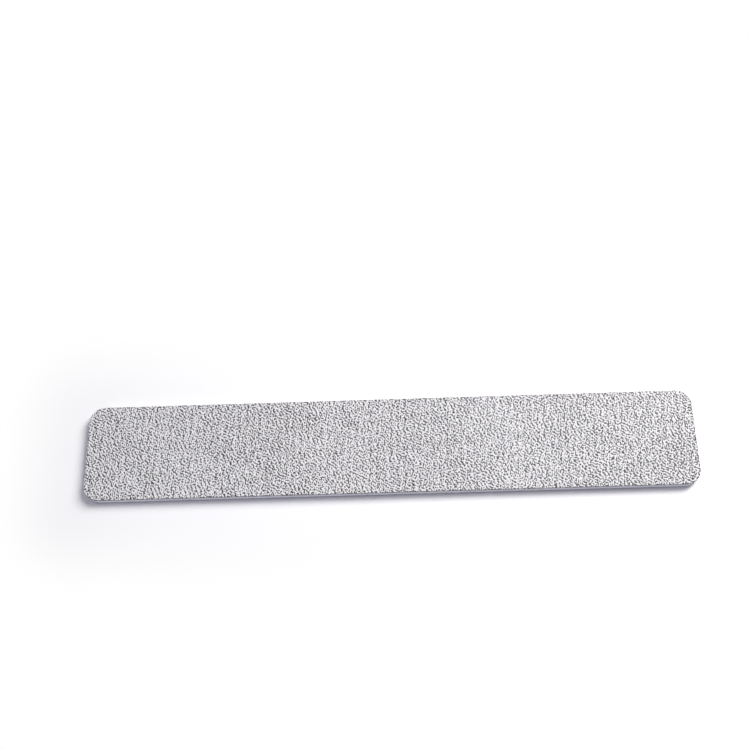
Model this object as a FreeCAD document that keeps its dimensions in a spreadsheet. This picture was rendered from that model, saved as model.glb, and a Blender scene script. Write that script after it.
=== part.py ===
"""Double-sided emery board: abrasive papers glued to foam layers on a stiff core, die-cut to one outline.

Millimetres, +Z up, X along the board and Y across it. The origin is the centre of the lower face.
"""

import FreeCAD
import Part
import Sketcher
import os

# Driving dimensions. One outline cuts every layer, so only the thicknesses differ.
SIZES = {
    "board_length": 178.0,
    "board_width": 28.6,
    "corner_radius": 4.5,
    "fine_grit_thickness": 0.2,
    "coarse_grit_thickness": 0.3,
    "paper_thickness": 0.2,
    "paper_adhesive_thickness": 0.05,
    "foam_thickness": 0.6,
    "core_adhesive_thickness": 0.05,
    "core_thickness": 0.7,
}

# The laminate from the lower face up: each layer's name and the size that is its thickness.
LAYERS = [
    ("lower_fine_grit_coat", "fine_grit_thickness"),
    ("lower_backing_paper", "paper_thickness"),
    ("lower_paper_adhesive", "paper_adhesive_thickness"),
    ("lower_foam_layer", "foam_thickness"),
    ("lower_core_adhesive", "core_adhesive_thickness"),
    ("core_strip", "core_thickness"),
    ("upper_core_adhesive", "core_adhesive_thickness"),
    ("upper_foam_layer", "foam_thickness"),
    ("upper_paper_adhesive", "paper_adhesive_thickness"),
    ("upper_backing_paper", "paper_thickness"),
    ("upper_coarse_grit_coat", "coarse_grit_thickness"),
]

START, END, CENTRE = 1, 2, 3
ORIGIN = (-1, 1)
SIDES = 4
VOLUME_TOLERANCE = 1e-6


def make_sheet(doc):
    """The spreadsheet of driving dimensions, one aliased cell each."""
    sheet = doc.addObject("Spreadsheet::Sheet", "sizes")
    for row, (alias, value) in enumerate(SIZES.items(), start=1):
        sheet.set(f"A{row}", alias.replace("_", " "))
        sheet.set(f"B{row}", str(value))
        sheet.setAlias(f"B{row}", alias)
    doc.recompute()
    return sheet


def draw_outline(sketch, sheet):
    """The die's outline: a rectangle about the origin, with four equal corner arcs."""
    half_length = sheet.board_length / 2
    half_width = sheet.board_width / 2
    radius = sheet.corner_radius
    corners = [
        FreeCAD.Vector(-half_length, -half_width),
        FreeCAD.Vector(half_length, -half_width),
        FreeCAD.Vector(half_length, half_width),
        FreeCAD.Vector(-half_length, half_width),
    ]
    along = [(corners[(i + 1) % SIDES] - corners[i]).normalize() for i in range(SIDES)]
    sides = []
    for i in range(SIDES):
        start = corners[i] + along[i] * radius
        end = corners[(i + 1) % SIDES] - along[i] * radius
        sides.append(sketch.addGeometry(Part.LineSegment(start, end)))
    arcs = []
    for i in range(SIDES):
        # The corner at the end of side i, turning on to the next side.
        corner = corners[(i + 1) % SIDES]
        onward = along[(i + 1) % SIDES]
        centre = corner + (onward - along[i]) * radius
        bulge = (along[i] - onward).normalize() * radius
        arc = Part.Arc(corner - along[i] * radius, centre + bulge, corner + onward * radius)
        arcs.append(sketch.addGeometry(arc))

    for i in range(SIDES):
        sketch.addConstraint(Sketcher.Constraint("Tangent", sides[i], END, arcs[i], START))
        sketch.addConstraint(Sketcher.Constraint("Tangent", arcs[i], END, sides[(i + 1) % SIDES], START))
    near, right, far, left = sides
    for side in (near, far):
        sketch.addConstraint(Sketcher.Constraint("Horizontal", side))
    for side in (right, left):
        sketch.addConstraint(Sketcher.Constraint("Vertical", side))
    for arc in arcs[1:]:
        sketch.addConstraint(Sketcher.Constraint("Equal", arcs[0], arc))
    sketch.addConstraint(Sketcher.Constraint("Symmetric", arcs[0], CENTRE, arcs[2], CENTRE, *ORIGIN))

    add_size(sketch, sheet, "board_length", "DistanceX", left, START, right, START)
    add_size(sketch, sheet, "board_width", "DistanceY", near, START, far, START)
    add_size(sketch, sheet, "corner_radius", "Radius", arcs[0])


def add_size(sketch, sheet, alias, kind, *geometry):
    """A named dimension of the sketch, bound to the sheet's cell of the same name."""
    index = sketch.addConstraint(Sketcher.Constraint(kind, *geometry, sheet.get(alias)))
    sketch.renameConstraint(index, alias)
    sketch.setExpression(f"Constraints.{alias}", f"{sheet.Name}.{alias}")


def make_layer(doc, sheet, label, thickness, below):
    """One layer of the laminate: the die's outline, padded to its thickness on top of the layers below."""
    body = doc.addObject("PartDesign::Body", label)
    body.Label = label
    sketch = body.newObject("Sketcher::SketchObject", f"{label}_outline")
    floor = next(plane for plane in body.Origin.OriginFeatures if plane.Role == "XY_Plane")
    sketch.AttachmentSupport = [(floor, "")]
    sketch.MapMode = "FlatFace"
    draw_outline(sketch, sheet)
    pad = body.newObject("PartDesign::Pad", f"{label}_pad")
    pad.Profile = sketch
    pad.setExpression("Length", f"{sheet.Name}.{thickness}")
    if below:
        height = " + ".join(f"{sheet.Name}.{alias}" for alias in below)
        body.setExpression(".Placement.Base.z", height)
    return body


def outline_area(sheet):
    """The area inside the die's outline."""
    square_corners = 4 * sheet.corner_radius**2
    round_corners = Part.makeCircle(sheet.corner_radius).Length * sheet.corner_radius / 2
    return sheet.board_length * sheet.board_width - square_corners + round_corners


def check(doc, sheet, bodies):
    """Stops the build if an object failed, a sketch is loose, or a layer isn't the solid its sizes give."""
    for item in doc.Objects:
        if "Invalid" in item.State or "Error" in item.State:
            raise RuntimeError(f"{item.Label} failed: {item.State}")
        if item.isDerivedFrom("Sketcher::SketchObject") and not item.FullyConstrained:
            raise RuntimeError(f"{item.Label} isn't fully constrained")
    for body, (label, thickness) in zip(bodies, LAYERS):
        shape = body.Shape
        if shape.isNull() or not shape.isValid() or len(shape.Solids) != 1:
            raise RuntimeError(f"{label} isn't one valid solid")
        expected = outline_area(sheet) * sheet.get(thickness)
        if abs(shape.Volume - expected) > VOLUME_TOLERANCE * expected:
            raise RuntimeError(f"{label} has a volume of {shape.Volume}, not {expected}")


def main():
    doc = FreeCAD.newDocument("emery_board")
    sheet = make_sheet(doc)
    bodies = []
    below = []
    for label, thickness in LAYERS:
        bodies.append(make_layer(doc, sheet, label, thickness, below))
        below.append(thickness)
    doc.recompute()
    check(doc, sheet, bodies)

    os.makedirs("parts", exist_ok=True)
    for body in bodies:
        body.Shape.exportStep(f"parts/{body.Label}.step")
        low, high = body.Shape.BoundBox.ZMin, body.Shape.BoundBox.ZMax
        print(f"{body.Label}: z {low:.3f} to {high:.3f} mm, {body.Shape.Volume:.2f} mm3")


main()
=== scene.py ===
"""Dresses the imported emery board: each layer as a modelled mesh with its own finish, on a pale stage.

Metres, in the part's own frame: X along the board, Y across it, and Z up from the face that it lies on.
"""

import math
import random

import bmesh
import bpy
from bpy.props import FloatProperty, FloatVectorProperty, PointerProperty
from mathutils import Matrix, Vector, noise


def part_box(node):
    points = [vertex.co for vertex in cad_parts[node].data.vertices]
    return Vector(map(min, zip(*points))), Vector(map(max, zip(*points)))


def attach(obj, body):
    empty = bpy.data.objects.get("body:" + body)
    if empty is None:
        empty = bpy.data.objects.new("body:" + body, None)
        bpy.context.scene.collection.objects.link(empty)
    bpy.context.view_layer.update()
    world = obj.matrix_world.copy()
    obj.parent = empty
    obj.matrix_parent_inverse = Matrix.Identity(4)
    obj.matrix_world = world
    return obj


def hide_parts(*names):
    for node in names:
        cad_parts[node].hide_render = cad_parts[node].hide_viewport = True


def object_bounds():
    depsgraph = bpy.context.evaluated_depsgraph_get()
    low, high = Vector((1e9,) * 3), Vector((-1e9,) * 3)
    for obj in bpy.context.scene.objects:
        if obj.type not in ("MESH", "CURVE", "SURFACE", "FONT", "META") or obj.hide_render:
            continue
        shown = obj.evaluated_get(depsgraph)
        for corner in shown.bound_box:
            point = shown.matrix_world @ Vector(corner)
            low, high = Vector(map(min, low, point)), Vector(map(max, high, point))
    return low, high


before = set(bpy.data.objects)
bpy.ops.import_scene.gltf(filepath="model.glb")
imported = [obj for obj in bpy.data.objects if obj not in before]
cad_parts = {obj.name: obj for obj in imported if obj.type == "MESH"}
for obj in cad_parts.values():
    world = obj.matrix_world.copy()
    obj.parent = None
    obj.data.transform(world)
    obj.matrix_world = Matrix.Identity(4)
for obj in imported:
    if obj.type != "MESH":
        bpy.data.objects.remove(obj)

bl_info = {
    "name": "Emery board",
    "version": (1, 0, 0),
    "blender": (4, 5, 0),
    "location": "View3D > Sidebar > Emery board",
    "description": "Models the layers of a double-sided emery board around its packed frame",
    "category": "Add Mesh",
}

# A millimetre in metres, and how near two places count as one
MM = 0.001
TOUCH = 0.0005 * MM

# Sizes read from the frame
CAD_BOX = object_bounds()
HALF_LENGTH = CAD_BOX[1].x
HALF_WIDTH = CAD_BOX[1].y


def corner_radius():
    """The outline's corner radius, from where the core strip's straight end meets its corner arcs."""
    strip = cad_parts["core_strip"].data
    return HALF_WIDTH - max(v.co.y for v in strip.vertices if v.co.x > HALF_LENGTH - TOUCH)


RADIUS = corner_radius()

# The outline's corners in turn, and the segments of a corner's arc
CORNERS = ((-1, -1), (1, -1), (1, 1), (-1, 1))
CORNER_SEGMENTS = 16

# The ridges of a grit coat: how many waves make them, and a wave's least, greatest and likeliest pace
WAVES = 90
WAVE_RANGE = (0.35, 1.5, 1.4)
# How far a facet's corner strays, as a share of its shortest side, and how much paleness crushed grit loses
FACET_STRAY = 0.3
CRUSH_LOSS = 0.3
# What shifts the grit's tone, and the span of the relief over which the valleys' dark bond and painted shade
# turn to pale grain
GRAIN_TONE = 0.3
SPECKLE_TONE = 0.2
MOTTLE_TONE = 0.05
BOND_AND_SHADE_SPAN = (0.31, 0.44)
# A grit coat's materials: one for its open face, and one for its cut edge and its back
OPEN_FACE = 0
CUT_EDGE = 1
# A grit coat's map for baking: strips of its open face and the part of the map that they fill,
# rows for its four sides and its back, and the gap round each
FACE_STRIPS = 2
FACE_PART = 0.9
EDGE_ROWS = 5
MAP_GAP = 0.008

# Levels of a foam layer's dished side, stray of a film's recess, and the middle of a quarter-round edge
FOAM_LEVELS = 8
GLUE_STRAY = 0.6
ROUND_MIDDLE = 1 - math.cos(math.pi / 4)

# The middle of a value that runs from 0 to 1
MIDDLE = 0.5
# Noise: its gain where it shapes a mesh, and the span that most of it keeps within in a shader
NOISE_GAIN = 2
NOISE_SPAN = (0.3, 0.7)

# The white of the floor and the background, and the sides of the round floor
WHITE = (1.0, 1.0, 1.0)
FLOOR_SEGMENTS = 96


def length(name, description, millimetres):
    """A property for a length, given in millimetres."""
    return FloatProperty(
        name=name, description=description, default=millimetres * MM, unit="LENGTH", precision=6
    )


def angle(name, description, degrees):
    """A property for an angle, given in degrees."""
    return FloatProperty(name=name, description=description, default=math.radians(degrees), subtype="ANGLE")


def watts(name, description, value):
    """A property for a lamp's power, given in watts."""
    return FloatProperty(name=name, description=description, default=value, unit="POWER")


def share(name, description, value):
    """A property for a share, from 0 to 1."""
    return FloatProperty(name=name, description=description, default=value, subtype="FACTOR")


def colour(name, description, red, green, blue):
    """A property for a colour, in linear light."""
    return FloatVectorProperty(
        name=name, description=description, default=(red, green, blue),
        subtype="COLOR", size=3, min=0, max=2,
    )


class EmeryShape(bpy.types.PropertyGroup):
    """Sizes of the grit's relief and of the cut edges."""

    grit_step: length("Grit step", "Spacing of the grit coats' facets along the board", 0.19)
    grit_stride: length("Grit stride", "Spacing of the grit coats' facets across the board", 0.295)
    grit_least: length("Least grit", "Least thickness of a grit coat in its valleys", 0.01)
    coarse_spacing: length("Coarse spacing", "Usual spacing of the coarse face's ridges", 0.76)
    coarse_depth: length("Coarse depth", "Height of the coarse face's ridges above its valleys", 0.19)
    coarse_lean: angle("Coarse lean", "Direction of the coarse face's ridges from the board's width", 38)
    coarse_spread: angle("Coarse spread", "How much the directions of the coarse face's ridges differ", 46)
    fine_spacing: length("Fine spacing", "Usual spacing of the fine face's ridges", 0.7)
    fine_depth: length("Fine depth", "Height of the fine face's ridges above its valleys", 0.13)
    fine_lean: angle("Fine lean", "Direction of the fine face's ridges from the board's width", 6)
    fine_spread: angle("Fine spread", "How much the directions of the fine face's ridges differ", 25)
    coarse_grain: length("Coarse grain", "Size of a grain on the coarse face", 0.15)
    fine_grain: length("Fine grain", "Size of a grain on the fine face", 0.09)
    ridge_share: share("Ridge share", "How much of the relief the ridges make", 0.56)
    grain_share: share("Grain share", "How much of the relief single grains make", 0.26)
    patch_share: share("Patch share", "How much the ridges' height differs from patch to patch", 0.25)
    patch_size: length("Patch size", "Size of those patches", 25)
    rim_width: length("Rim width", "Width of the grit that the die crushed along the cut edge", 0.4)
    rim_fray: length("Rim fray", "How far the crushed grit breaks back from the cut edge", 0.1)
    fray_size: length("Fray size", "Usual length of such a break", 0.4)
    coarse_drop: length("Coarse drop", "How far the die pressed the coarse grit in at the cut edge", 0.04)
    fine_drop: length("Fine drop", "How far the die pressed the fine grit in at the cut edge", 0.03)
    edge_step: length("Edge step", "Spacing of the points along a layer's cut edge", 0.3)
    paper_fray: length("Paper fray", "How far the paper's cut edge strays", 0.03)
    paper_fibre: length("Paper fibre", "Usual length over which that edge strays", 0.5)
    glue_recess: length("Glue recess", "How far an adhesive film stands back from the cut edge", 0.04)
    glue_wander: length("Glue wander", "Usual length over which the film's edge wanders", 1.2)
    foam_dish: length("Foam dish", "How far the cut foam is drawn in at mid height", 0.07)
    foam_pits: length("Foam pits", "Depth of the open cells along the cut foam", 0.025)
    foam_cell: length("Foam cell", "Usual length of such a cell", 0.35)
    core_round: length("Core rounding", "Rounding of the core strip's cut edges", 0.06)


class EmeryColours(bpy.types.PropertyGroup):
    """Colours of the layers."""

    # The valley colours are partly the bond's own dark and partly painted shade in the hollows between the
    # ridges
    coarse_ridge: colour("Coarse ridge", "Grain on the coarse face's ridges", 0.92, 0.905, 0.925)
    coarse_valley_bond_and_shade: colour("Coarse valley", "Bond in the coarse face's valleys", 0.03, 0.0292, 0.0315)
    fine_ridge: colour("Fine ridge", "Grain on the fine face's ridges", 0.74, 0.72, 0.76)
    fine_valley_bond_and_shade: colour("Fine valley", "Bond in the fine face's valleys", 0.17, 0.165, 0.178)
    coarse_cut: colour("Coarse cut", "Cut edge of the coarse grit coat", 0.15, 0.147, 0.157)
    # Near black: partly the cut bond's own colour, partly painted contact shade where the lower edge meets
    # the floor
    fine_cut_and_contact_shade: colour("Fine cut", "Cut edge of the fine grit coat", 0.03, 0.029, 0.033)
    paper: colour("Paper", "Backing paper", 0.035, 0.034, 0.039)
    adhesive: colour("Adhesive", "Adhesive films", 0.62, 0.61, 0.66)
    foam: colour("Foam", "Foam layers", 0.86, 0.855, 0.93)
    core: colour("Core", "Core strip", 0.86, 0.855, 0.92)


class EmeryStage(bpy.types.PropertyGroup):
    """The floor, the light and the camera."""

    floor: colour("Floor", "Floor colour in the light that it throws back on the board", 0.8, 0.8, 0.8)
    floor_near: colour("Floor near", "Floor colour as the camera sees it beside the board", 1.17, 1.17, 1.17)
    floor_fade: length("Floor fade", "Distance from the board over which the floor turns plain white", 28)
    floor_radius: length("Floor radius", "Radius of the floor", 3000)
    key: colour("Key colour", "Colour of the key lamp", 1.0, 0.985, 0.955)
    key_power: watts("Key power", "Power of the key lamp", 2.9)
    key_width: length("Key width", "Width of the key lamp", 220)
    key_rise: length("Key rise", "Height of the key lamp's face", 360)
    key_distance: length("Key distance", "Distance of the key lamp from the board", 540)
    key_bearing: angle("Key bearing", "Direction of the key lamp, from +X towards +Y", 40)
    key_height: angle("Key height", "Height of the key lamp above the horizon", 49)
    card: colour("Card colour", "Colour of the low lamp in front", 0.9, 0.89, 1.0)
    card_power: watts("Card power", "Power of that lamp", 0.25)
    card_size: length("Card size", "Width and height of the low lamp in front", 200)
    card_distance: length("Card distance", "Distance of that lamp from the board", 350)
    card_bearing: angle("Card bearing", "Direction of that lamp, from +X towards +Y", -112)
    card_height: angle("Card height", "Height of that lamp above the horizon", 6)
    fill: colour("Fill colour", "Colour of the light from all round", 0.84, 0.84, 1.0)
    fill_strength: FloatProperty(name="Fill strength", description="Strength of that light", default=0.25)
    aim: FloatVectorProperty(
        name="Aim", description="Point that the camera looks at", default=(-3.62 * MM, 22.06 * MM, 3 * MM),
        unit="LENGTH",
    )
    distance: length("Distance", "Distance of the camera from that point", 312.19)
    bearing: angle("Bearing", "Direction that the camera looks in, from +Y towards +X", -4.567)
    elevation: angle("Elevation", "Height of the camera above the horizon", 68.035)
    roll: angle("Roll", "Turn of the camera about its line of sight", -6.046)
    lens: FloatProperty(
        name="Lens", description="Focal length in millimetres", default=50, subtype="DISTANCE_CAMERA"
    )


class Wire:
    """A value in a shader: one output socket, with arithmetic that adds Math nodes."""

    def __init__(self, paint, socket):
        self.paint = paint
        self.socket = socket

    def math(self, operation, first, second):
        """A Math node on two values, each a wire or a number."""
        return self.paint.node("ShaderNodeMath", {"operation": operation}, {0: first, 1: second})

    def __add__(self, other):
        return self.math("ADD", self, other)

    def __radd__(self, other):
        return self.math("ADD", other, self)

    def __sub__(self, other):
        return self.math("SUBTRACT", self, other)

    def __rsub__(self, other):
        return self.math("SUBTRACT", other, self)

    def __mul__(self, other):
        return self.math("MULTIPLY", self, other)

    def __rmul__(self, other):
        return self.math("MULTIPLY", other, self)


class Paint:
    """The node tree of a material or of the world while it is drawn up."""

    def __init__(self, owner):
        owner.use_nodes = True
        self.tree = owner.node_tree
        self.tree.nodes.clear()

    def node(self, kind, settings=None, inputs=None, output=0):
        """Adds a node with its settings, then its sockets' values or links, and gives one of its outputs."""
        made = self.tree.nodes.new(kind)
        for name, value in (settings or {}).items():
            setattr(made, name, value)
        for key, value in (inputs or {}).items():
            socket = self.socket(made.inputs, key)
            if isinstance(value, Wire):
                self.tree.links.new(value.socket, socket)
            else:
                socket.default_value = value
        if not made.outputs:
            return None
        return Wire(self, self.socket(made.outputs, output))

    def socket(self, sockets, key):
        """The socket of that number, or the one of that name which the node's settings leave in use."""
        if isinstance(key, int):
            return sockets[key]
        return next(socket for socket in sockets if socket.name == key and socket.enabled)

    def place(self, scale=(1, 1, 1)):
        """The piece's own coordinates, scaled."""
        coordinates = self.node("ShaderNodeTexCoord", output="Object")
        inputs = {"Vector": coordinates, "Scale": scale}
        return self.node("ShaderNodeMapping", {"vector_type": "POINT"}, inputs)

    def speckle(self, place, size, detail=2.0, roughness=0.5):
        """Soft noise of that grain size, from 0 to 1."""
        inputs = {"Vector": place, "Scale": 1 / size, "Detail": detail, "Roughness": roughness}
        return self.node("ShaderNodeTexNoise", {}, inputs, "Fac")

    def grains(self, place, size):
        """Cells of that size: the distance from a cell's middle."""
        inputs = {"Vector": place, "Scale": 1 / size}
        return self.node("ShaderNodeTexVoronoi", {"feature": "F1"}, inputs, "Distance")

    def ease(self, value, low, high, to_low=0.0, to_high=1.0):
        """A value carried smoothly from one range to another."""
        inputs = {"Value": value, "From Min": low, "From Max": high, "To Min": to_low, "To Max": to_high}
        return self.node("ShaderNodeMapRange", {"interpolation_type": "SMOOTHSTEP"}, inputs, "Result")

    def blend(self, amount, first, second):
        """Two colours mixed by an amount."""
        settings = {"data_type": "RGBA", "blend_type": "MIX", "clamp_factor": True}
        first, second = (c if isinstance(c, Wire) else (*c, 1.0) for c in (first, second))
        return self.node("ShaderNodeMix", settings, {"Factor": amount, "A": first, "B": second}, "Result")

    def bump(self, height, distance, strength):
        """A normal dented by a height from 0 to 1 over a distance in metres."""
        inputs = {"Height": height, "Distance": distance, "Strength": strength}
        return self.node("ShaderNodeBump", {}, inputs, "Normal")

    def surface(self, **sockets):
        """Ends the material in a Principled shader."""
        inputs = {name.replace("_", " ").title(): value for name, value in sockets.items()}
        shader = self.node("ShaderNodeBsdfPrincipled", {}, inputs)
        self.node("ShaderNodeOutputMaterial", {}, {"Surface": shader})


def material(name):
    """A new material and its paint."""
    made = bpy.data.materials.new(name)
    return made, Paint(made)


def shaded(tint, times):
    """A colour made that many times as bright."""
    return tuple(times * c for c in tint)


def grit_material(name, ridge, valley, grain_size):
    """Coated grain: pale crystals on the ridges, dark bond with painted shade in the valleys, and small
    facets all over.
    """
    made, paint = material(name)
    place = paint.place()
    speckle_size = 1.6 * grain_size
    mottle_size = 9 * MM
    facet_depth = grain_size / 3
    relief = paint.node("ShaderNodeAttribute", {"attribute_name": "relief"}, output="Fac")
    grain = paint.node("ShaderNodeAttribute", {"attribute_name": "grain"}, output="Fac")
    speckle = paint.speckle(place, speckle_size)
    mottle = paint.speckle(place, mottle_size, detail=3.0)
    facets = paint.grains(place, grain_size)
    tone = relief + (
        GRAIN_TONE * (grain - MIDDLE) + SPECKLE_TONE * (speckle - MIDDLE) + MOTTLE_TONE * (mottle - MIDDLE)
    )
    # Low relief takes the valley colour: the bond's own dark together with painted shade in the hollows
    base = paint.blend(paint.ease(tone, *BOND_AND_SHADE_SPAN), tuple(valley), tuple(ridge))
    roughness = paint.ease(speckle, *NOISE_SPAN, to_low=0.36, to_high=0.6)
    normal = paint.bump(facets, facet_depth, strength=0.2)
    paint.surface(base_color=base, roughness=roughness, normal=normal)
    return made


def cut_grit_material(name, shade, grain_size):
    """Grit coat cut through: dark bond with a few bright broken grains."""
    made, paint = material(name)
    place = paint.place()
    broken_span = (0.55, 0.75)
    facet_depth = grain_size / 3
    bright = shaded(shade, 3.5)
    broken = paint.ease(paint.speckle(place, grain_size), *broken_span, to_high=0.5)
    base = paint.blend(broken, tuple(shade), bright)
    normal = paint.bump(paint.grains(place, grain_size), facet_depth, strength=0.5)
    paint.surface(base_color=base, roughness=0.7, normal=normal)
    return made


def paper_material(name, shade):
    """Cut paper: long fibres in thin sheets, seen end on."""
    made, paint = material(name)
    fibre_size = 0.35 * MM
    fibre_depth = 0.03 * MM
    pressed_flat = (1, 1, 6)
    dark = shaded(shade, 0.65)
    pale = shaded(shade, 1.5)
    fibres = paint.speckle(paint.place(scale=pressed_flat), fibre_size, detail=4.0, roughness=0.65)
    base = paint.blend(paint.ease(fibres, *NOISE_SPAN), dark, pale)
    normal = paint.bump(fibres, fibre_depth, strength=0.5)
    paint.surface(base_color=base, roughness=0.85, normal=normal)
    return made


def adhesive_material(name, shade):
    """Milky adhesive film: satin, with dust caught along its cut edge."""
    made, paint = material(name)
    dust_size = 0.5 * MM
    dust_span = (0.4, 0.7)
    dusty = shaded(shade, 0.7)
    dust = paint.speckle(paint.place(), dust_size, detail=3.0)
    base = paint.blend(paint.ease(dust, *dust_span), tuple(shade), dusty)
    roughness = paint.ease(dust, *NOISE_SPAN, to_low=0.3, to_high=0.55)
    paint.surface(base_color=base, roughness=roughness)
    return made


def foam_material(name, shade):
    """Closed-cell foam cut open: small round cells with painted shade inside, and a faint change of tint
    along it.
    """
    made, paint = material(name)
    place = paint.place()
    cell_size = 0.22 * MM
    cell_depth = 0.05 * MM
    wall_span = (0.1, 0.6)
    tint_size = 3 * MM
    # Painted shade: each open cell is darker towards its middle, where its hollow lies
    inside = shaded(shade, 0.84)
    dull = shaded(shade, 0.93)
    walls = paint.ease(paint.grains(place, cell_size), *wall_span)
    cells = paint.blend(walls, inside, tuple(shade))
    tint = paint.ease(paint.speckle(place, tint_size), *NOISE_SPAN, to_high=0.5)
    base = paint.blend(tint, cells, dull)
    normal = paint.bump(walls, cell_depth, strength=0.6)
    paint.surface(base_color=base, roughness=0.8, normal=normal)
    return made


def core_material(name, shade):
    """Sheet plastic sheared by the die: satin, with fine upright scratches."""
    made, paint = material(name)
    scratch_size = 0.12 * MM
    scratch_depth = 0.015 * MM
    drawn_upright = (1, 1, 0.15)
    tint_size = 6 * MM
    dull = shaded(shade, 0.95)
    scratches = paint.speckle(paint.place(scale=drawn_upright), scratch_size, detail=3.0)
    tint = paint.ease(paint.speckle(paint.place(), tint_size), *NOISE_SPAN)
    base = paint.blend(tint, dull, tuple(shade))
    roughness = paint.ease(scratches, *NOISE_SPAN, to_low=0.35, to_high=0.55)
    normal = paint.bump(scratches, scratch_depth, strength=0.4)
    paint.surface(base_color=base, roughness=roughness, normal=normal)
    return made


def finish_piece(bm, name, node, materials):
    """Makes the bmesh a piece that stands for a node of the frame and takes the node's finish."""
    mesh = bpy.data.meshes.new(name)
    bm.to_mesh(mesh)
    bm.free()
    for made in materials:
        mesh.materials.append(made)
    piece = bpy.data.objects.new(name, mesh)
    bpy.context.scene.collection.objects.link(piece)
    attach(piece, "root")
    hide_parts(node)
    return piece


def inner_point(co):
    """The nearest point of the rectangle that the corner arcs have their centres on."""
    reach_x = HALF_LENGTH - RADIUS
    reach_y = HALF_WIDTH - RADIUS
    return Vector((min(max(co.x, -reach_x), reach_x), min(max(co.y, -reach_y), reach_y), co.z))


def rim_point(co):
    """The nearest point of the die's outline, and the way outwards there."""
    inner = inner_point(co)
    outward = (co - inner).normalized()
    return inner + outward * RADIUS, outward


def edge_distance(co):
    """How far a point lies inside the die's outline."""
    return RADIUS - (co - inner_point(co)).length


def drawn_in(co):
    """Carries a point of a square-cornered sheet into the die's outline."""
    inner = inner_point(co)
    arm = co - inner
    if not arm.length:
        return co
    return inner + arm * max(abs(arm.x), abs(arm.y)) / arm.length


def outline_face(bm, height, step):
    """The die's outline as one face: a rectangle with its corners beveled to arcs and its sides divided."""
    corners = [bm.verts.new((x * HALF_LENGTH, y * HALF_WIDTH, height)) for x, y in CORNERS]
    bm.faces.new(corners)
    bmesh.ops.bevel(
        bm, geom=bm.verts[:], offset=RADIUS, segments=CORNER_SEGMENTS, profile=0.5,
        affect="VERTICES", material=-1,
    )
    for edge in bm.edges[:]:
        cuts = round(edge.calc_length() / step) - 1
        if cuts > 0:
            bmesh.ops.subdivide_edges(bm, edges=[edge], cuts=cuts)
    return bm.faces[:][0]


def stray(co, size):
    """Noise of that size, from -1 to 1."""
    return min(max(NOISE_GAIN * noise.noise(co / size), -1), 1)


def ragged(co, size):
    """Noise of that size, from 0 to 1."""
    return (1 + stray(co, size)) / 2


def layer_piece(node, rings, step, materials):
    """One flat layer: the outline raised through rings, each a part of its height and an inset."""
    low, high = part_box(node)
    bm = bmesh.new()
    top = outline_face(bm, low.z, step)
    for number, (part, inset) in enumerate(rings):
        if number:
            below = top
            raised = bmesh.ops.extrude_face_region(bm, geom=[below])["geom"]
            top = next(made for made in raised if isinstance(made, bmesh.types.BMFace))
            # The first face stays as the underside, and a later one would be left inside the layer
            if number > 1:
                bmesh.ops.delete(bm, geom=[below], context="FACES_ONLY")
        for vert in top.verts:
            rim, outward = rim_point(vert.co)
            vert.co = rim - outward * inset(rim)
            vert.co.z = low.z + part * (high.z - low.z)
    bmesh.ops.recalc_face_normals(bm, faces=bm.faces[:])
    return finish_piece(bm, node + "_cut", node, materials)


def ridge_waves(chance, spacing, lean, spread):
    """The waves that add up to a coat's ridges, each with its own spacing, direction and start."""
    waves = []
    for _ in range(WAVES):
        pace = math.tau / spacing * chance.triangular(*WAVE_RANGE)
        way = chance.gauss(lean, spread)
        waves.append((pace * math.cos(way), pace * math.sin(way), chance.uniform(0, math.tau)))
    return waves


def ridge_height(co, waves):
    """Height of the ridges at a point, about 0 with a usual size of 1."""
    x, y, _ = co
    return sum(math.cos(a * x + b * y + start) for a, b, start in waves) / math.sqrt(len(waves) / 2)


def grit_sheet(shape, chance):
    """The open face of a grit coat, still flat: a grid drawn into the die's outline, in uneven facets."""
    bm = bmesh.new()
    bmesh.ops.create_grid(
        bm, x_segments=round(2 * HALF_LENGTH / shape.grit_step),
        y_segments=round(2 * HALF_WIDTH / shape.grit_stride),
        size=1, matrix=Matrix.Diagonal((HALF_LENGTH, HALF_WIDTH, 1, 1)),
    )
    for vert in bm.verts:
        vert.co = drawn_in(vert.co)
    for vert in bm.verts:
        if not vert.is_boundary:
            jitter = FACET_STRAY * min(edge.calc_length() for edge in vert.link_edges)
            vert.co.x += chance.uniform(-jitter, jitter)
            vert.co.y += chance.uniform(-jitter, jitter)
    bmesh.ops.triangulate(bm, faces=bm.faces[:], quad_method="BEAUTY")
    return bm


def close_coat(bm, back_z):
    """Closes a grit coat with its cut edge and a flat back, and gives the back."""
    rim = [edge for edge in bm.edges if edge.is_boundary]
    wall = bmesh.ops.extrude_edge_only(bm, edges=rim)["geom"]
    for part in wall:
        if isinstance(part, bmesh.types.BMVert):
            part.co.z = back_z
        if isinstance(part, bmesh.types.BMFace):
            part.material_index = CUT_EDGE
    foot = [part for part in wall if isinstance(part, bmesh.types.BMEdge) and part.is_boundary]
    return bmesh.ops.edgeloop_fill(bm, edges=foot, mat_nr=CUT_EDGE)["faces"][0]


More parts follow.
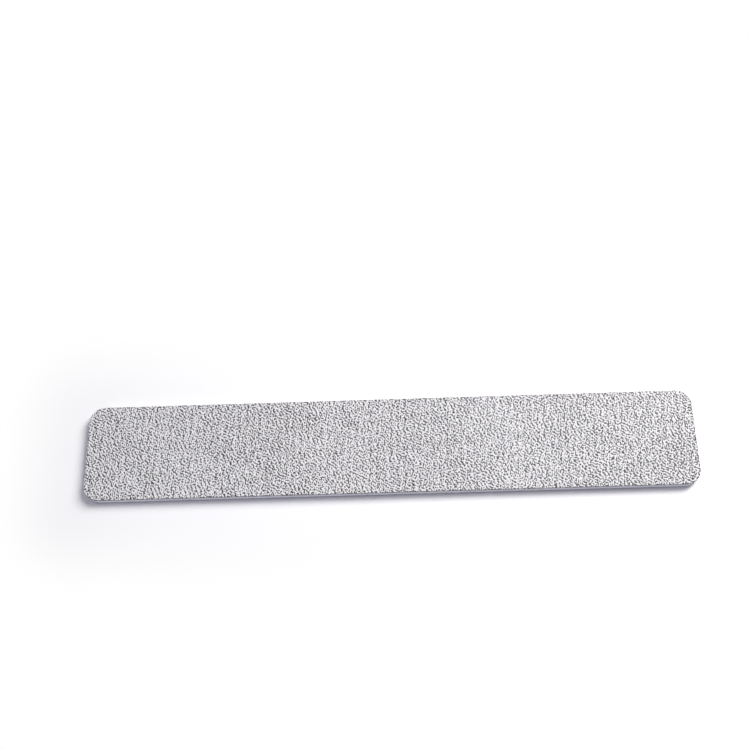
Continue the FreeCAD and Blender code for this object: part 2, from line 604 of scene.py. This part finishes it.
def lay_out(bm, back, low, high):
    """Unwraps a grit coat for baking: strips of its open face, then rows for its sides and its back."""
    map_layer = bm.loops.layers.uv.new("OFBake")
    for face in bm.faces:
        middle = face.calc_center_median()
        is_open = face.material_index == OPEN_FACE
        if is_open:
            row = min(int(FACE_STRIPS * (middle.x + HALF_LENGTH) / (2 * HALF_LENGTH)), FACE_STRIPS - 1)
            rise = FACE_PART / FACE_STRIPS
            base = row * rise
            gap = MAP_GAP
        else:
            outward = rim_point(middle)[1]
            at_end = abs(outward.x) > abs(outward.y)
            side = 2 * at_end + ((outward.x if at_end else outward.y) > 0)
            row = EDGE_ROWS - 1 if face == back else side
            rise = (1 - FACE_PART) / EDGE_ROWS
            base = FACE_PART + row * rise
            gap = MAP_GAP * rise
        for loop in face.loops:
            x, y, z = loop.vert.co
            along = (x + HALF_LENGTH) / (2 * HALF_LENGTH)
            across = (y + HALF_WIDTH) / (2 * HALF_WIDTH)
            if is_open:
                spot = (along * FACE_STRIPS - row, across)
            elif face == back:
                spot = (along, across)
            else:
                spot = (across if at_end else along, (z - low.z) / (high.z - low.z))
            u = MAP_GAP + spot[0] * (1 - 2 * MAP_GAP)
            v = base + gap + spot[1] * (rise - 2 * gap)
            loop[map_layer].uv = (u, v)


def grit_piece(node, up, spacing, lean, spread, depth, drop, shape, materials):
    """A grit coat: a sheet of facets with ridges on its open side, closed by a cut edge and a flat back."""
    low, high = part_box(node)
    open_z, back_z = (high.z, low.z) if up > 0 else (low.z, high.z)
    deepest = high.z - low.z - shape.grit_least
    chance = random.Random(node)
    waves = ridge_waves(chance, spacing, lean, spread)
    bm = grit_sheet(shape, chance)
    relief = bm.verts.layers.float.new("relief")
    grain = bm.faces.layers.float.new("grain")
    for face in bm.faces:
        face[grain] = chance.random()
    for vert in bm.verts:
        crushed = max(0, 1 - edge_distance(vert.co) / shape.rim_width)
        patch = 1 + shape.patch_share * stray(vert.co, shape.patch_size)
        swell = patch * ridge_height(vert.co, waves)
        single = chance.uniform(-1, 1)
        height = min(max(MIDDLE + shape.ridge_share * swell + shape.grain_share * single, 0), 1)
        vert[relief] = height * (1 - CRUSH_LOSS * crushed)
        if crushed:
            rim, outward = rim_point(vert.co)
            vert.co -= outward * shape.rim_fray * crushed * ragged(rim, shape.fray_size)
        sunk = depth * (1 - height) + drop * crushed * crushed
        vert.co.z = open_z - up * min(sunk, deepest)
    back = close_coat(bm, back_z)
    lay_out(bm, back, low, high)
    bmesh.ops.recalc_face_normals(bm, faces=bm.faces[:])
    finish_piece(bm, node + "_grain", node, materials)


class EMERY_OT_core_strip(bpy.types.Operator):
    """Adds the stiff core strip, with its cut edges slightly rounded"""

    bl_idname = "emery.core_strip"
    bl_label = "Core strip"

    def execute(self, context):
        shape = context.scene.emery_shape
        low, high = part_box("core_strip")
        rise = shape.core_round / (high.z - low.z)
        rings = [
            (0.0, lambda co: shape.core_round),
            (ROUND_MIDDLE * rise, lambda co: ROUND_MIDDLE * shape.core_round),
            (rise, lambda co: 0.0),
            (1 - rise, lambda co: 0.0),
            (1 - ROUND_MIDDLE * rise, lambda co: ROUND_MIDDLE * shape.core_round),
            (1.0, lambda co: shape.core_round),
        ]
        finish = core_material("core_plastic", context.scene.emery_colours.core)
        layer_piece("core_strip", rings, shape.edge_step, [finish])
        return {"FINISHED"}


class EMERY_OT_foam_layers(bpy.types.Operator):
    """Adds the two foam layers, with the cut cells drawn in along their sides"""

    bl_idname = "emery.foam_layers"
    bl_label = "Foam layers"

    def execute(self, context):
        shape = context.scene.emery_shape
        finish = foam_material("foam", context.scene.emery_colours.foam)

        def dish(part):
            """The inset at a part of the height: greatest half way up, and pitted."""
            bow = 1 - (2 * part - 1) ** 2
            return lambda co: shape.foam_dish * bow + shape.foam_pits * ragged(co, shape.foam_cell)

        parts = [level / FOAM_LEVELS for level in range(FOAM_LEVELS + 1)]
        rings = [(part, dish(part)) for part in parts]
        for node in ("lower_foam_layer", "upper_foam_layer"):
            piece = layer_piece(node, rings, shape.edge_step, [finish])
        return {"FINISHED"}


class EMERY_OT_adhesive_films(bpy.types.Operator):
    """Adds the four adhesive films, which stand back a little from the cut edge"""

    bl_idname = "emery.adhesive_films"
    bl_label = "Adhesive films"

    def execute(self, context):
        shape = context.scene.emery_shape
        finish = adhesive_material("adhesive", context.scene.emery_colours.adhesive)

        def recess(co):
            return shape.glue_recess * (1 + GLUE_STRAY * stray(co, shape.glue_wander))

        rings = [(0.0, recess), (1.0, recess)]
        for joined in ("core", "paper"):
            for side in ("lower", "upper"):
                layer_piece(f"{side}_{joined}_adhesive", rings, shape.edge_step, [finish])
        return {"FINISHED"}


class EMERY_OT_backing_papers(bpy.types.Operator):
    """Adds the two backing papers, with slightly frayed cut edges"""

    bl_idname = "emery.backing_papers"
    bl_label = "Backing papers"

    def execute(self, context):
        shape = context.scene.emery_shape
        finish = paper_material("backing_paper", context.scene.emery_colours.paper)

        def fray(co):
            return shape.paper_fray * ragged(co, shape.paper_fibre)

        rings = [(0.0, fray), (MIDDLE, fray), (1.0, fray)]
        for node in ("lower_backing_paper", "upper_backing_paper"):
            layer_piece(node, rings, shape.edge_step, [finish])
        return {"FINISHED"}


class EMERY_OT_grit_coats(bpy.types.Operator):
    """Adds the coarse grit coat above and the fine one below, with their ridges and valleys"""

    bl_idname = "emery.grit_coats"
    bl_label = "Grit coats"

    def execute(self, context):
        shape = context.scene.emery_shape
        tones = context.scene.emery_colours
        coarse_cut = cut_grit_material("coarse_cut", tones.coarse_cut, shape.coarse_grain)
        # The fine cut edge's darker colour carries painted contact shade along the floor
        fine_cut_and_contact_shade = cut_grit_material("fine_cut_and_contact_shade", tones.fine_cut_and_contact_shade, shape.fine_grain)
        coarse = grit_material("coarse_grit", tones.coarse_ridge, tones.coarse_valley_bond_and_shade, shape.coarse_grain)
        fine = grit_material("fine_grit", tones.fine_ridge, tones.fine_valley_bond_and_shade, shape.fine_grain)
        grit_piece(
            "upper_coarse_grit_coat", 1, shape.coarse_spacing, shape.coarse_lean, shape.coarse_spread,
            shape.coarse_depth, shape.coarse_drop, shape, [coarse, coarse_cut],
        )
        grit_piece(
            "lower_fine_grit_coat", -1, shape.fine_spacing, shape.fine_lean, shape.fine_spread,
            shape.fine_depth, shape.fine_drop, shape, [fine, fine_cut_and_contact_shade],
        )
        return {"FINISHED"}


def floor_material(name, settings):
    """Pale floor: lit and shadowed beside the board, and plain white to the camera further off."""
    made, paint = material(name)
    half = (HALF_LENGTH, HALF_WIDTH, 0)
    side = paint.node("ShaderNodeVectorMath", {"operation": "ABSOLUTE"}, {0: paint.place()})
    past = paint.node("ShaderNodeVectorMath", {"operation": "SUBTRACT"}, {0: side, 1: half})
    clear = paint.node("ShaderNodeVectorMath", {"operation": "MAXIMUM"}, {0: past, 1: (0, 0, 0)})
    away = paint.node("ShaderNodeVectorMath", {"operation": "LENGTH"}, {0: clear}, "Value")
    whiter = paint.ease(away, 0, settings.floor_fade)
    seen = seen_directly(paint)
    tone = paint.blend(seen, tuple(settings.floor), tuple(settings.floor_near))
    lit = paint.node("ShaderNodeBsdfDiffuse", {}, {"Color": tone})
    white = paint.node("ShaderNodeEmission", {}, {"Color": (*WHITE, 1.0), "Strength": 1.0})
    shader = paint.node("ShaderNodeMixShader", {}, {0: seen * whiter, 1: lit, 2: white})
    paint.node("ShaderNodeOutputMaterial", {}, {"Surface": shader})
    return made


def add_floor(context, settings):
    """A round floor that keeps the board's shadow."""
    bm = bmesh.new()
    bmesh.ops.create_circle(bm, cap_ends=True, segments=FLOOR_SEGMENTS, radius=settings.floor_radius)
    mesh = bpy.data.meshes.new("floor")
    bm.to_mesh(mesh)
    bm.free()
    mesh.materials.append(floor_material("floor", settings))
    floor = bpy.data.objects.new("floor", mesh)
    context.scene.collection.objects.link(floor)


def seen_directly(paint):
    """1 for a ray from the camera, or one that mirrors or passes through on its way, and 0 for the rest."""
    path = paint.node("ShaderNodeLightPath", output="Is Camera Ray")
    ways = path.socket.node.outputs
    glossy, through = (Wire(paint, ways[name]) for name in ("Is Glossy Ray", "Is Transmission Ray"))
    return path + glossy + through


def add_lamp(context, name, tint, power, width, rise, distance, bearing, height):
    """A flat lamp that faces the board, from a bearing and a height above the horizon."""
    lamp = bpy.data.lights.new(name, "AREA")
    lamp.color = tint
    lamp.energy = power
    lamp.shape = "RECTANGLE"
    lamp.size = width
    lamp.size_y = rise
    piece = bpy.data.objects.new(name, lamp)
    level = math.cos(height)
    towards = Vector((level * math.cos(bearing), level * math.sin(bearing), math.sin(height)))
    piece.location = towards * distance
    piece.rotation_euler = towards.to_track_quat("Z", "Y").to_euler()
    context.scene.collection.objects.link(piece)


def add_light(context, settings):
    """A key lamp behind on the right, a low one in front, and bluish light from all round, seen as white."""
    add_lamp(
        context, "key", settings.key, settings.key_power, settings.key_width, settings.key_rise,
        settings.key_distance, settings.key_bearing, settings.key_height,
    )
    add_lamp(
        context, "card", settings.card, settings.card_power, settings.card_size, settings.card_size,
        settings.card_distance, settings.card_bearing, settings.card_height,
    )
    world = bpy.data.worlds.new("studio")
    context.scene.world = world
    paint = Paint(world)
    dim = shaded(settings.fill, settings.fill_strength)
    tone = paint.blend(seen_directly(paint), dim, WHITE)
    sky = paint.node("ShaderNodeBackground", {}, {"Color": tone, "Strength": 1.0})
    paint.node("ShaderNodeOutputWorld", {}, {"Surface": sky})


def add_camera(context, settings):
    """The camera, looking down on the board from its near side."""
    lens = bpy.data.cameras.new("camera")
    lens.lens = settings.lens
    camera = bpy.data.objects.new("camera", lens)
    level = math.cos(settings.elevation)
    forward = Vector((
        level * math.sin(settings.bearing), level * math.cos(settings.bearing), -math.sin(settings.elevation)
    ))
    eye = Vector(settings.aim) - forward * settings.distance
    turned = forward.to_track_quat("-Z", "Y").to_matrix().to_4x4() @ Matrix.Rotation(settings.roll, 4, "Z")
    camera.matrix_world = Matrix.Translation(eye) @ turned
    context.scene.collection.objects.link(camera)
    context.scene.camera = camera


class EMERY_OT_stage(bpy.types.Operator):
    """Adds the pale floor, the soft light and the camera"""

    bl_idname = "emery.stage"
    bl_label = "Stage"

    def execute(self, context):
        settings = context.scene.emery_stage
        add_floor(context, settings)
        add_light(context, settings)
        add_camera(context, settings)
        context.scene.view_settings.view_transform = "Standard"
        return {"FINISHED"}


OPERATORS = (
    EMERY_OT_core_strip,
    EMERY_OT_foam_layers,
    EMERY_OT_adhesive_films,
    EMERY_OT_backing_papers,
    EMERY_OT_grit_coats,
    EMERY_OT_stage,
)
SETTINGS = {"emery_shape": EmeryShape, "emery_colours": EmeryColours, "emery_stage": EmeryStage}


class EMERY_PT_board(bpy.types.Panel):
    """Lists the board's pieces, its stage and their settings"""

    bl_idname = "EMERY_PT_board"
    bl_label = "Emery board"
    bl_space_type = "VIEW_3D"
    bl_region_type = "UI"
    bl_category = "Emery board"

    def draw(self, context):
        for operator in OPERATORS:
            self.layout.operator(operator.bl_idname)
        for name, group in SETTINGS.items():
            box = self.layout.box()
            for setting in group.__annotations__:
                box.prop(getattr(context.scene, name), setting)


CLASSES = (*SETTINGS.values(), *OPERATORS, EMERY_PT_board)


def register():
    for made in CLASSES:
        bpy.utils.register_class(made)
    for name, group in SETTINGS.items():
        setattr(bpy.types.Scene, name, PointerProperty(type=group))


def unregister():
    for name in SETTINGS:
        delattr(bpy.types.Scene, name)
    for made in reversed(CLASSES):
        bpy.utils.unregister_class(made)


def main():
    """Builds the board and its stage."""
    register()
    bpy.ops.emery.core_strip()
    bpy.ops.emery.foam_layers()
    bpy.ops.emery.adhesive_films()
    bpy.ops.emery.backing_papers()
    bpy.ops.emery.grit_coats()
    bpy.ops.emery.stage()


if __name__ == "__main__":
    main()
